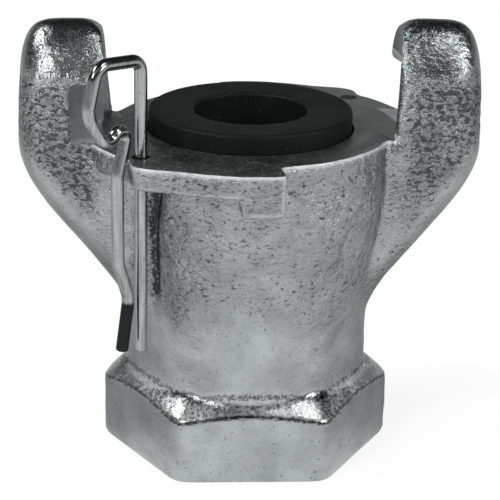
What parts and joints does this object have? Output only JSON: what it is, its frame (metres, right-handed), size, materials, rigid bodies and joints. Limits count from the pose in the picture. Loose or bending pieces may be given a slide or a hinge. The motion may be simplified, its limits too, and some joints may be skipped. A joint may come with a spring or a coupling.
{
  "type": "claw hose coupling",
  "caption": "Quick-release claw coupling for compressed air with hooked claws, rubber washer, female pipe thread end and wire safety clip.",
  "frame": {"origin": "centre of the machined end face of the pipe end, on the coupling's axis", "axes": "+Z along the coupling's axis from the pipe end to the claws, +X through the middle of one claw, +Y across the flats of the six-sided end"},
  "size_m": [0.0662, 0.0498, 0.0635],
  "materials": {
    "zinc_plated_iron": "rough sand-cast iron with thin zinc plating, machined on the face and bores",
    "black_rubber": "matt moulded rubber",
    "bright_steel_wire": "bright drawn wire"
  },
  "bodies": {
    "coupling": {"coupling_casting": "zinc_plated_iron", "rubber_washer": "black_rubber"},
    "clip": {"safety_clip": "bright_steel_wire"}
  },
  "joints": [
    {"name": "clip_lift", "type": "slide", "parent": "coupling", "child": "clip", "axis": [0, 0, 1], "range_m": [0, 0.011]}
  ]
}
